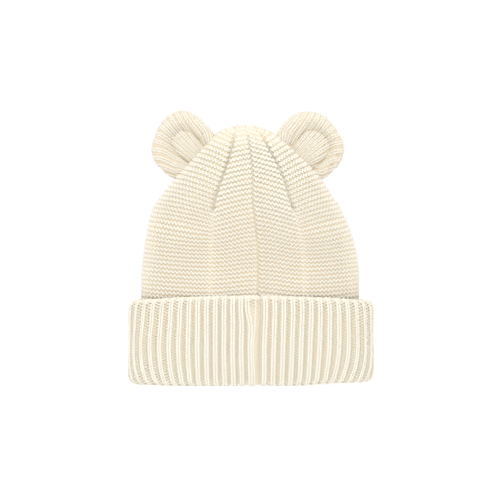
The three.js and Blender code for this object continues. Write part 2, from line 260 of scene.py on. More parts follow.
# Materials
def knit_material(name, colour, mottle, bump):
    material = bpy.data.materials.new(name)
    material.use_nodes = True
    nodes, links = material.node_tree.nodes, material.node_tree.links
    shader = nodes["Principled BSDF"]
    shader.inputs["Base Color"].default_value = (*colour, 1)
    shader.inputs["Roughness"].default_value = 0.92
    shader.inputs["Specular IOR Level"].default_value = 0.2
    shader.inputs["Sheen Weight"].default_value = 0.35
    shader.inputs["Sheen Roughness"].default_value = 0.45
    place = nodes.new("ShaderNodeTexCoord")
    if mottle:
        noise = nodes.new("ShaderNodeTexNoise")
        noise.inputs["Scale"].default_value = 900
        noise.inputs["Detail"].default_value = 3
        ramp = nodes.new("ShaderNodeValToRGB")
        ramp.color_ramp.elements[0].position = 0.3
        ramp.color_ramp.elements[0].color = (*[c * (1 - mottle) for c in colour], 1)
        ramp.color_ramp.elements[1].position = 0.7
        ramp.color_ramp.elements[1].color = (*[min(1, c * (1 + mottle * 0.4)) for c in colour], 1)
        links.new(place.outputs["Object"], noise.inputs["Vector"])
        links.new(noise.outputs["Fac"], ramp.inputs["Fac"])
        links.new(ramp.outputs["Color"], shader.inputs["Base Color"])
    if bump:
        fibre = nodes.new("ShaderNodeTexNoise")
        fibre.inputs["Scale"].default_value = 2600
        fibre.inputs["Detail"].default_value = 4
        relief = nodes.new("ShaderNodeBump")
        relief.inputs["Strength"].default_value = bump
        relief.inputs["Distance"].default_value = 0.3 * MM
        links.new(place.outputs["Object"], fibre.inputs["Vector"])
        links.new(fibre.outputs["Fac"], relief.inputs["Height"])
        links.new(relief.outputs["Normal"], shader.inputs["Normal"])
    return material


yarn = knit_material("cream_yarn", (0.82, 0.782, 0.685), 0.04, 0.3)
crown_yarn = knit_material("crown_yarn", (0.84, 0.81, 0.725), 0.04, 0.3)
# painted shade: the brim's purls take the yarn colour made warmer for the light bounced deep in its valleys
valley_yarn_painted_shade = knit_material("valley_yarn_painted_shade", (0.88, 0.82, 0.69), 0.04, 0.3)
# painted shade: the ears' purls take the yarn colour made darker and warmer for the shade in their valleys
ear_valley_yarn_painted_shade = knit_material("ear_valley_yarn_painted_shade", (0.73, 0.66, 0.53), 0.04, 0.3)
# painted shade: the ears' stitches take the yarn colour made darker for the shade that falls on the ears
ear_yarn_painted_shade = knit_material("ear_yarn_painted_shade", (0.785, 0.745, 0.645), 0.04, 0.3)
# painted shade: the grounds under the stitches are the yarn made tan and darker for the shade in their gaps, darkest on
# the ears
ground = knit_material("cream_ground_painted_shade", (0.76, 0.66, 0.495), 0.06, 0.4)
brim_ground_painted_shade = knit_material("brim_ground_painted_shade", (0.84, 0.74, 0.575), 0.06, 0.4)
ear_ground_painted_shade = knit_material("ear_ground_painted_shade", (0.7, 0.6, 0.45), 0.06, 0.4)


# Crown shape
def crown_base(share, rise):
    way_down = np.sqrt(np.clip(1 - rise, 0, 1))
    down = np.sqrt(1 - np.array(CROWN_RISE))[::-1]
    width = curve(way_down, down, CROWN_WIDTH[::-1])
    depth = curve(way_down, down, CROWN_DEPTH[::-1])
    shift = curve(way_down, down, CROWN_SHIFT[::-1])
    x, y = oval_point(crown_ruler.angle_at(share))
    round_here = crown_ruler.total * np.maximum(width, 0.02)
    relief = np.zeros(np.broadcast(share, rise).shape)
    nearest = np.full(relief.shape, 1.0)
    for place, (_, _, start, deep) in zip(crease_shares, CREASES):
        away = between(share, place) * round_here
        open_here = smooth((rise - start) / 0.05) * smooth((1 - rise) / 0.1)
        hole = DART_HOLE_DEPTH * np.exp(-((rise - DART_HOLE_RISE) / 0.012) ** 2)
        groove = (CREASE_DEPTH * open_here + hole) * deep
        relief = relief - groove * np.exp(-(away / CREASE_WIDTH) ** 2)
        nearest = np.minimum(nearest, np.abs(away) / round_here)
    upper = smooth((rise - 0.3) / 0.4) * smooth((1 - rise) / 0.2)
    relief = relief + PANEL_BULGE * upper * smooth(nearest / 0.1)
    seam_away = between(share, seam_share) * round_here
    below_top = smooth((1 - rise) / 0.1)
    relief = relief - SEAM_DEPTH * below_top * np.exp(-((seam_away + SEAM_ASIDE) / SEAM_WIDTH) ** 2)
    relief = relief + SEAM_EDGE * below_top * np.exp(-((seam_away - 2 * SEAM_ASIDE) / (1.5 * SEAM_WIDTH)) ** 2)
    for place, height, wide, tall, deep in DENTS:
        across = between(share, place) * round_here / (wide * CROWN_HALF_WIDTH)
        relief = relief - deep * CROWN_HALF_WIDTH * np.exp(-across ** 2 - ((rise - height) / tall) ** 2)
    relief = relief * smooth((1 - rise) / 0.03)
    lean = FOOT_LEAN * np.exp(-((rise - FOOT_LEAN_RISE) / np.where(rise < FOOT_LEAN_RISE, 0.05, 0.09)) ** 2)
    return np.stack([
        CROWN_HALF_WIDTH * shift + x * (CROWN_HALF_WIDTH * width + relief),
        y * (CROWN_HALF_DEPTH * depth + relief + lean),
        CROWN_FOOT + CROWN_HEIGHT * rise * np.ones_like(relief),
    ], axis=-1)


def crown_frame(share, rise):
    """Points of the crown's outer face, and the ways round it, up it and out of it."""
    step = 0.0015
    point = crown_base(share, rise)
    round_way = unit(crown_base(share + step, rise) - crown_base(share - step, rise))
    high, low = np.minimum(rise + step, 0.9995), np.minimum(rise - step, 0.996)
    up = unit(crown_base(share, high) - crown_base(share, low))
    return point, round_way, up, unit(np.cross(round_way, up))


def crown_shell():
    sharp = [*crease_shares, seam_share]
    fine = np.array([-4.5, -3, -1.8, -0.9, 0, 0.9, 1.8, 3, 4.5]) * MM / crown_ruler.total
    shares = np.unique(np.round(np.mod(np.concatenate([np.arange(128) / 128, *(s + fine for s in sharp)]), 1), 6))
    way = np.linspace(0, 1, 46)
    rises = 1 - (1 - way) ** 1.6
    rises[-1] = 0.99985
    share, rise = np.meshgrid(shares, rises)
    point, _, _, out = crown_frame(share, rise)
    depth = GROUND_DEPTH + (GROUND_DEPTH_TOP - GROUND_DEPTH) * smooth((rise - SOFT_TOP_RISE) / 0.16)
    outer = point - out * depth[..., None]
    inner = point - out * CROWN_WALL
    outer[0, :, 2] = inner[0, :, 2] = CROWN_FOOT
    build = Builder()
    rings = np.concatenate([outer, inner[::-1]])
    size = len(shares)
    build.loops(rings)
    top = len(rises) - 1
    build.quads[-1] = build.quads[-1].reshape(len(rings), size, 4)
    build.quads[-1] = np.delete(build.quads[-1], top, axis=0).reshape(-1, 4)
    middle_out, middle_in = rings[top].mean(axis=0), rings[top + 1].mean(axis=0)
    first = build.count
    build.points.append(np.stack([middle_out, middle_in]))
    build.count += 2
    j = np.arange(0, size - 1, 2)
    k, m = j + 1, (j + 2) % size
    if size % 2:
        j, k, m = np.append(j, size - 1), np.append(k, 0), np.append(m, 0)
    out_ring, in_ring = top * size, (top + 1) * size
    build.quads.append(np.stack([np.full(len(j), first), out_ring + j, out_ring + k, out_ring + m], axis=-1))
    build.quads.append(np.stack([np.full(len(j), first + 1), in_ring + m, in_ring + k, in_ring + j], axis=-1))
    return build


def steepness(share, height):
    rise = np.clip((height - CROWN_FOOT) / CROWN_HEIGHT, 0.002, 0.9985)
    low, high = crown_base(np.array([share, share]), np.array([rise - 0.001, min(rise + 0.003, 0.9995)]))
    return (high - low)[2] / np.linalg.norm(high - low)


def row_heights(drop):
    """Heights of a panel's rows in its middle. A side panel's rows lie about drop lower where they are seen."""
    heights, z = [], CROWN_FOOT + FIRST_ROW
    while z < CROWN_TOP + drop:
        heights.append(z)
        pitch = ROW_PITCH_LOW + (ROW_PITCH_HIGH - ROW_PITCH_LOW) * smooth((z / MM - 88) / 24)
        part = min(1, 1.15 * steepness(0.76, z - drop))
        if drop:
            pitch *= 1 - SIDE_ROW_TIGHTEN * smooth((z / MM - 98) / 30)
            if z < CROWN_TOP - ROW_END:
                part = min(part, SIDE_TOP_PACKING * steepness(0, z))
        z += max(pitch * part, 0.3 * MM)
    return heights


def row_dip(height, part, seam_part):
    """How far a row sags below its height at the hat's sides, with part from 0 in a panel's middle to 1 at a dart."""
    amount = curve(height / MM, ROW_DIP_HEIGHT, ROW_DIP if seam_part else SIDE_ROW_DIP) * MM
    kinked = smooth((height / MM - 104) / 16)
    bend = 1.35 if seam_part else 1.9
    shape = (1 - kinked) * (0.5 - 0.5 * np.cos(math.pi * part)) + kinked * part ** bend
    return amount * (shape + seam_part * (1 - shape))


# name, from, middle, to, dip in its middle
PANELS = [
    ("back", DART_LEFT, seam_share, seam_share, 0.22),
    ("back", seam_share, seam_share, DART_RIGHT, 0.22),
    ("right", DART_RIGHT - 1, 0.0, DART_FRONT_RIGHT, 0.0),
    ("front", DART_FRONT_RIGHT, 0.25, DART_FRONT_LEFT, 0.1),
    ("left", DART_FRONT_LEFT, 0.5, DART_LEFT, 0.0),
]
DART_END = CROWN_FOOT + CROWN_HEIGHT * 0.53


STITCH_LEAST = 0.62
stitch_weight = sideways_weight(CROWN_HALF_WIDTH, CROWN_HALF_DEPTH, STITCH_LEAST)


def stitch_way(shares, line):
    """The running length of a row for its stitches, which widen where the crown turns away to its front."""
    x, _ = oval_point(crown_ruler.angle_at((shares[1:] + shares[:-1]) / 2))
    steps = np.linalg.norm(np.diff(line, axis=0), axis=1) * stitch_weight(x)
    return np.concatenate([[0], np.cumsum(steps)])


def panel_arc(start, end, rise):
    share = np.linspace(start, end, 60)
    return stitch_way(share, crown_base(share, np.full(60, rise)))[-1]


def runs(wanted):
    """The stretches of a row of truths that hold true, as slices."""
    edges = np.flatnonzero(np.diff(np.concatenate([[0], wanted.astype(int), [0]])))
    return [slice(a, b) for a, b in zip(edges[::2], edges[1::2]) if b - a > 3]


def crown_ridges():
    builds = {name: Builder() for name, *_ in PANELS}
    for name, start, middle, end, seam_part in PANELS:
        build = builds[name]
        halves = [(middle, end), (middle, start)]
        stitches = [max(1, round(panel_arc(*sorted(half), 0.1) / STITCH_WIDTH)) if half[0] != half[1] else 0
                    for half in halves]
        heights = row_heights(0 if seam_part else SIDE_ROW_DROP)
        half_size = [max(abs(edge - middle), 1e-9) for _, edge in halves]
        for index, height in enumerate(heights):
            shares = np.linspace(start, end, 320)
            part = np.clip(np.abs(shares - middle) / np.where(shares >= middle, *half_size), 0, 1)
            z = height - row_dip(height, part, seam_part)
            above = height + 1 * MM
            z_above = above - row_dip(above, part, seam_part)
            to_next = heights[index + 1] - height if index + 1 < len(heights) else 2 * MM
            if name == "back" and start == seam_share:
                offset = 0.42 * ROW_PITCH_LOW * np.exp(-np.abs(shares - seam_share) / 0.05)
                z, z_above = z + offset, z_above + offset
            rise = np.clip((z - CROWN_FOOT) / CROWN_HEIGHT, 0.004, 0.9988)
            line = crown_base(shares, rise)
            line_above = crown_base(shares, np.clip((z_above - CROWN_FOOT) / CROWN_HEIGHT, 0.004, 0.999))
            spacing = np.linalg.norm(line_above - line, axis=1) / MM * to_next / ROW_PITCH_LOW
            steps = stitch_way(shares, line)
            arc = steps - np.interp(middle, shares, steps)
            level_rise = (min(height, DART_END) - CROWN_FOOT) / CROWN_HEIGHT
            width = [panel_arc(*sorted(half), level_rise) / count if count else STITCH_WIDTH
                     for half, count in zip(halves, stitches)]
            phase = np.where(arc >= 0, arc / width[0], arc / width[1])
            for run in runs(z < CROWN_TOP - ROW_END):
                steps_here = int(round((phase[run][-1] - phase[run][0]) * RIDGE_POINTS))
                if steps_here < 4:
                    continue
                wanted = np.linspace(phase[run][0], phase[run][-1], steps_here + 1)
                share = np.interp(wanted, phase, shares)
                point, _, up, out = crown_frame(share, np.interp(wanted, phase, rise))
                wave = np.sin(2 * math.pi * wanted)
                drift = 0.12 * MM * np.sin(wanted * 0.7 + index * 1.9) + 0.1 * MM * rng.standard_normal(len(wanted))
                swell = 1 + 0.1 * np.sin(wanted * 2.3 + index * 2.1)
                x, _ = oval_point(crown_ruler.angle_at(share))
                lift = -0.55 * MM + 0.35 * MM * np.abs(wave) ** 1.5 - RIDGE_SINK * smooth((np.abs(x) - 0.82) / 0.18)
                lift = lift - 0.3 * MM * smooth((np.interp(wanted, phase, rise) - SOFT_TOP_RISE) / 0.1)
                for place in (start, end):
                    dive = SEAM_DIVES[start == seam_share] if place == seam_share else DIVE
                    away = between(share, place) * crown_ruler.total
                    lift = lift - dive * np.exp(-(away / DIVE_WIDTH) ** 2)
                if name == "back":
                    raised = np.exp(-np.abs(between(share, seam_share)) * crown_ruler.total / (3 * MM))
                    lift = lift + (0.45 if start == seam_share else -0.35) * MM * raised
                scale = np.clip(np.interp(wanted, phase, spacing), 0.6, 1.4)
                centre = point + up * (RIDGE_WAVE * scale ** 1.2 * wave * swell + drift)[:, None] + out * lift[:, None]
                radius = RIDGE_RADIUS * scale ** 0.7 * (0.84 + 0.36 * np.abs(wave))
                radius = radius * (1 + 0.04 * rng.standard_normal(len(wanted)))
                build.tubes(centre[None], out[None], radius[None])
    return builds


# Brim shape
# inset through the layers and space between them, then height and how far it follows the lift of the fold
BRIM_PATH = [
    (7.35, 0.95, 7.0, 1), (7.2, 0.9, 3.4, 1), (6.4, 0.72, 1.1, 1), (5.2, 0.55, 0.15, 1), (3.8, 0.45, 0, 1),
    (2.3, 0.33, 0.3, 1), (1.1, 0.16, 1.5, 1), (0.35, 0.04, 3.8, 1), (0.1, 0, 7.4, 1), (0, 0, 14.6, 0.6),
    (0.25, 0, 23, 0.25), (0.5, 0, 32, 0), (0.45, 0, 42, 0), (0.25, 0.03, 51, 0), (0.35, 0.12, 55.2, 0),
    (1.0, 0.25, 57.7, 0), (2.2, 0.33, 58.6, 0), (3.5, 0.33, 57.8, 0), (4.15, 0.3, 55.6, 0), (4.25, 0.15, 51, 0),
]
path_inset, path_space, path_height, path_fold = (np.array(column, float) for column in zip(*BRIM_PATH))
path_way = np.concatenate([[0], np.cumsum(np.hypot(np.diff(path_inset + 4 * path_space), np.diff(path_height)))])
PATH_LENGTH = path_way[-1] * MM


def brim_base(share, way, inset=0.0):
    """Points of the brim's outer face, with way the distance along its profile from inside the fold."""
    w = way / MM
    deep = curve(w, path_way, path_inset) * MM + inset
    space = curve(w, path_way, path_space)
    height = curve(w, path_way, path_height)
    fold = curve(w, path_way, path_fold)
    x, y = oval_point(rib_ruler.angle_at(share))
    lift = fold * np.where(x < 0, LEFT_HEM_LIFT * smooth((-x - 0.35) / 0.65), RIGHT_HEM_LIFT * smooth((x - 0.2) / 0.6))
    rise = EDGE_RISE * smooth((height * MM / BRIM_HEIGHT - 0.5) / 0.5) * (1 - x * x)
    return np.stack([
        x * (BRIM_HALF_WIDTH - deep - space * SIDE_STAND_OFF),
        y * (BRIM_HALF_DEPTH - deep - space * BACK_STAND_OFF),
        height * MM + lift + rise,
    ], axis=-1)


def brim_frame(share, way):
    step_share, step_way = 0.0008, 0.3 * MM
    point = brim_base(share, way)
    round_way = unit(brim_base(share + step_share, way) - brim_base(share - step_share, way))
    up = unit(brim_base(share, np.minimum(way + step_way, PATH_LENGTH)) - brim_base(share, np.maximum(way - step_way, 0)))
    return point, round_way, up, unit(np.cross(round_way, up))


RIB_BOW = 2.5 * MM
RIB_BOW_WAY = np.array([0, 8, 16, 24, 42, 62, 76, 90]) * MM
RIB_BOW_SHAPE = [-1.0, -0.95, -0.75, 0.1, 1.0, 0.45, 0.1, 0]
BRIM_SEAM_ACROSS = 0.03
brim_seam_share = rib_ruler.share_across(BRIM_SEAM_ACROSS, True)


FOLD_WAY = 10 * MM
FIRST_COURSE = 3  # the first that the fold does not hide
SEAM_RIB = 46
SEAM_JUMP_LEFT = -1.0 * MM
SEAM_JUMP_RIGHT = 2.2 * MM
SEAM_BEND = -2.9 * MM
SEAM_STRAND = 2.55 * MM


# across the half width, then how far a rib on the back stands to the right of its even place low, midway and high
RIB_DRIFT = [
    (-1, 0, 0, 0), (-0.9, -0.4, -0.3, 0.6), (-0.765, 0.6, 0.4, 1.2), (-0.57, 1.7, 0.7, 1.5), (-0.37, 1.5, 1.1, 1.1),
    (-0.18, 1.2, 0.6, 0.9), (-0.04, 0.8, 0.1, 1.0), (0.02, 0.7, 0.1, 1.5), (0.11, 0.7, 1.0, 1.8), (0.31, 0.8, 1.8, 2.5),
    (0.5, 0.9, 2.1, 3.0), (0.7, 1.6, 3.0, 3.5), (0.9, 3.4, 3.4, 3.8), (1, 3.4, 3.4, 3.8),
]
DRIFT_MIDWAY = 40 * MM
DRIFT_REACH = 20 * MM


def rib_drift(x, y, way):
    across, low, midway, high = (np.array(column, float) for column in zip(*RIB_DRIFT))
    up = np.clip((way - DRIFT_MIDWAY) / DRIFT_REACH, -1, 1)
    here, under, over = (np.interp(x, across, column) for column in (midway, low, high))
    drift = here + np.maximum(up, 0) * (over - here) + np.maximum(-up, 0) * (under - here)
    return drift * MM * (1 - smooth(y / 0.9))


def rib_share(rib, way, bent=True):
    """Where a rib, or a place between two, runs round the brim."""
    rib = np.asarray(rib, float)
    share = (rib + 0.5) / RIB_COUNT
    from_seam = between(share, (SEAM_RIB + 0.5) / RIB_COUNT) * rib_ruler.total
    jump = np.where(from_seam > 1 * MM, SEAM_JUMP_RIGHT, SEAM_JUMP_LEFT)
    share = share + jump / rib_ruler.total * np.exp(-np.abs(from_seam) / (70 * MM))
    x, y = oval_point(rib_ruler.angle_at(share))
    share = share + rib_drift(x, y, way) / rib_ruler.total
    toward = np.sign(x) * np.where(np.mod(share, 1) > 0.5, 1, -1)
    bow = curve(way, RIB_BOW_WAY, RIB_BOW_SHAPE) * RIB_BOW * smooth((np.abs(x) - 0.4) / 0.5)
    near_end = smooth((1 - np.abs(x)) / 0.02)
    share = share + toward * near_end * bow / rib_ruler.total
    if bent:
        beside = np.where(from_seam < 1 * MM, np.exp(from_seam / (5.5 * MM)), 0)
        share = share + SEAM_BEND * beside * smooth((way - 52.5 * MM) / (11 * MM)) / rib_ruler.total
    return share


def seam_strand_share(way):
    return rib_share(SEAM_RIB, way, bent=False) + (SEAM_STRAND + 0.3 * MM * smooth((way - 40 * MM) / (20 * MM))) / rib_ruler.total


def filled(way):
    """From 0 to 1 towards the brim's free edge, where its valleys are shallow."""
    return smooth((way - (PATH_LENGTH - 20 * MM)) / (9 * MM))


def brim_shell():
    stations = (np.arange(RIB_COUNT * 6) / 6)[None, :]
    ways = np.concatenate([np.linspace(0, 22, 13), np.linspace(26, 70, 9), np.linspace(73, path_way[-1], 8)]) * MM
    way = ways[:, None]
    share = rib_share(stations - 0.5, way)
    point, _, _, out = brim_frame(share, way * np.ones_like(stations))
    depth = (0.75 + (0.75 - 0.75 * filled(way)) * np.abs(np.cos(math.pi * stations)) ** 3) * MM
    outer = point - out * depth[..., None]
    outer[..., 2] = np.maximum(outer[..., 2], (0.9 + 1.5 * np.abs(np.cos(math.pi * stations)) ** 2) * MM)
    x, y = oval_point(rib_ruler.angle_at(share[0]))
    layers = BRIM_THICKNESS + INNER_THICKNESS

    def ring(deep, space, height):
        return np.stack([
            x * (BRIM_HALF_WIDTH - deep - space * SIDE_STAND_OFF),
            y * (BRIM_HALF_DEPTH - deep - space * BACK_STAND_OFF),
            np.full_like(x, height),
        ], axis=-1)

    inner_top = CROWN_FOOT - 0.3 * MM
    inner_relief = 0.6 * MM * np.abs(np.cos(math.pi * stations[0])) ** 2
    rest = [
        ring(BRIM_THICKNESS - 0.2 * MM, 0.1, 30 * MM),
        ring(BRIM_THICKNESS - 0.2 * MM, 0.15, 8.5 * MM),
        ring(BRIM_THICKNESS, 0.9, 8.5 * MM),
        ring(BRIM_THICKNESS, 1, inner_top - 1 * MM),
        ring(BRIM_THICKNESS + 0.6 * MM, 1, inner_top),
        ring(layers - 0.6 * MM, 1, inner_top),
        ring(layers - inner_relief, 1, inner_top - 1 * MM),
        ring(layers - inner_relief, 1, 30 * MM),
        ring(layers - inner_relief, 1, 12 * MM),
    ]
    build = Builder()
    build.loops(np.concatenate([outer, np.stack(rest)]))
    return build


VEE_PART = np.array([-1, -0.64, -0.26, -0.06, 0.06, 0.26, 0.64, 1.0])
VEE_FULL = np.array([0.55, 1.0, 1.04, 1.0, 1.0, 1.04, 1.0, 0.55])
EAR_VEE_FULL = np.array([0.55, 1.0, 1.0, 0.7, 0.7, 1.0, 1.0, 0.55])
LEG_PART = np.array([0, 0.14, 0.4, 0.68, 1.0])
LEG_FULL = np.array([0.55, 0.92, 1.06, 1.0, 0.55])
BUMP_PART = np.array([-0.12, 0.42, 1.0])
BAR_PART = np.array([-1, -0.4, 0.4, 1.0])
BAR_LEAST = 0.75 * MM
BAR_RADIUS = 0.42 * MM
BUMP_HEIGHT = np.array([0.1, 0.4, 0]) * MM
BUMP_RADIUS = np.array([0.38, 0.51, 0.44]) * MM


def add_stitches(build, centre, out, radius):
    """Adds tubes of these shapes, all with as many points, and keeps them off the ground."""
    radius = np.broadcast_to(radius, centre.shape[:-1])
    centre[..., 2] = np.maximum(centre[..., 2], radius + 0.05 * MM)
    size = (-1, centre.shape[-2])
    build.tubes(centre.reshape(*size, 3), np.broadcast_to(out, centre.shape).reshape(*size, 3), radius.reshape(size))


def rib_stitches(build, share_of, count, shape, full, spread=1.0):
    """The stitches up each rib, each a vee whose two legs make the rib's two strands."""
    courses = int((PATH_LENGTH - 1 * MM) / COURSE)
    course = np.arange(FIRST_COURSE, courses)[None, :, None]
    part = shape[None, None, :]
    jitter = rng.standard_normal((count, courses - FIRST_COURSE, 1))
    way = np.clip((course + 1.42 * np.abs(part) - 0.1) * COURSE + 0.06 * MM * jitter, 0, PATH_LENGTH)
    point, round_way, up, out = brim_frame(share_of(way), way)
    sideways = spread * np.sign(part) * STRAND_OUTER * np.abs(part) ** 0.4 + 0.05 * MM * jitter
    height = -0.3 * MM + 0.12 * MM * np.sin(math.pi * np.abs(part)) - 0.2 * MM * np.abs(part) ** 3 + 0.05 * MM * jitter
    centre = point + round_way * sideways[..., None] + out * (height * np.ones_like(sideways))[..., None]
    add_stitches(build, centre, out, STRAND_RADIUS * full[None, None, :] * (1 + 0.04 * jitter))


def rib_purls(build, left_of, right_of, count, left_margin, right_margin):
    """The bumps in the valley between two ribs, in two columns that lie half a course apart."""
    courses = int((PATH_LENGTH - 12 * MM) / COURSE)
    course = np.arange(courses)[None, :, None]
    for side in (-1, 1):
        part = (side * BUMP_PART)[None, None, :]
        jitter = rng.standard_normal((count, courses, 1))
        sag = 0.5 * COURSE * np.abs(part)
        way = np.clip((course + 3.2 + 0.25 * side) * COURSE + sag + 0.06 * MM * jitter, 0, PATH_LENGTH)
        left, right = left_of(way), right_of(way)
        middle = left + between(right, left) / 2
        point, round_way, up, out = brim_frame(middle, way)
        gap = np.linalg.norm(brim_base(right, way) - brim_base(left, way), axis=-1)
        half = np.maximum((gap - left_margin - right_margin) / 2, 0.05 * MM)
        sideways = part * half + (left_margin - right_margin) / 2 + 0.04 * MM * jitter
        at_fold = 1 - smooth(np.abs(way - FOLD_WAY) / (5 * MM))
        height = (-0.86 + 0.54 * filled(way) - 1.5 * at_fold) * MM + BUMP_HEIGHT + 0.05 * MM * jitter
        centre = point + round_way * sideways[..., None] + out * height[..., None]
        add_stitches(build, centre, out, BUMP_RADIUS * (1 + 0.06 * jitter))


def brim_edge():
    """The smooth band along the brim's free edge."""
    build = Builder()
    rib = np.arange(RIB_COUNT * 6 + 1) / 6 - 0.5
    for way_from_top, deep, radius in ((2.2, 1.05, 0.8), (1.0, 0.9, 0.85), (-0.3, 0.8, 0.85), (-1.6, 0.85, 0.85)):
        crest = PATH_LENGTH - 9.0 * MM
        wave = np.cos(2 * math.pi * rib)
        way = crest - way_from_top * MM + 0.22 * MM * wave
        point, _, _, out = brim_frame(rib_share(rib, way), way)
        centre = point - out * ((deep - 0.22 * wave) * MM)[:, None]
        build.tubes(centre[None], out[None], np.full((1, len(rib)), radius * MM))
    return build


# Ears
EAR_HALF_WIDTH = 23.6 * MM
EAR_HEIGHT = 33.8 * MM
EAR_FOOT_REACH = 14 * MM
EAR_THICKNESS = 12.6 * MM
PANEL_THICKNESS = 8 * MM
QUILT_THICKNESS = 3.6 * MM
EAR_COURSE = 1.85 * MM
EAR_COLUMN = 3.35 * MM
EAR_STRAND_SHARE = 0.2
EAR_STRAND_MOST = 0.7 * MM
EAR_LEG_SHARE = 0.27
EAR_LEG_MOST = 1.12 * MM
EAR_GATHER = 0.25  # how much closer the lines are in the middle of the foot than at its ends
EAR_FAN_LOW = 108
EAR_FAN_HIGH = 80
EAR_FOOT_ANGLE = math.radians(34)
EAR_BEND = 0.62
EAR_ROLL = 0.5
# name, side, foot from and to as rises, width, height, panel width, panel reach, panel shift
EARS = [("ear_left", -1, 0.725, 0.943, 0.945, 0.985, 0.39, 0.6, 0.095),
        ("ear_right", 1, 0.726, 0.943, 1.025, 0.99, 0.48, 0.66, 0.085)]
# by side: where round the ear its rim stands out, and by what share
EAR_SWELLS = {-1: [(45, 0.1), (116, -0.08)], 1: [(80, -0.07)]}
SWELL_REACH = math.radians(26)
# ends of the tuck in the right ear's rim, to the hat's right and up
TUCK_FROM = np.array([60.9, 160.4]) * MM
TUCK_TO = np.array([55.0, 150.3]) * MM
TUCK_DEPTH = 1.5 * MM
TUCK_WIDTH = 1.3 * MM


def rounded_d(angle, half_width, height, widest_share, foot_reach, tip_power, foot_power):
    c, s = np.cos(angle), np.sin(angle)
    power = np.where(s >= 0, 2 / tip_power, 2 / foot_power)
    widest = height * widest_share
    reach = np.abs(s) ** power
    return np.stack([
        np.sign(c) * np.abs(c) ** power * half_width,
        widest + reach * np.where(s >= 0, height - widest, -widest - foot_reach),
    ], axis=-1)


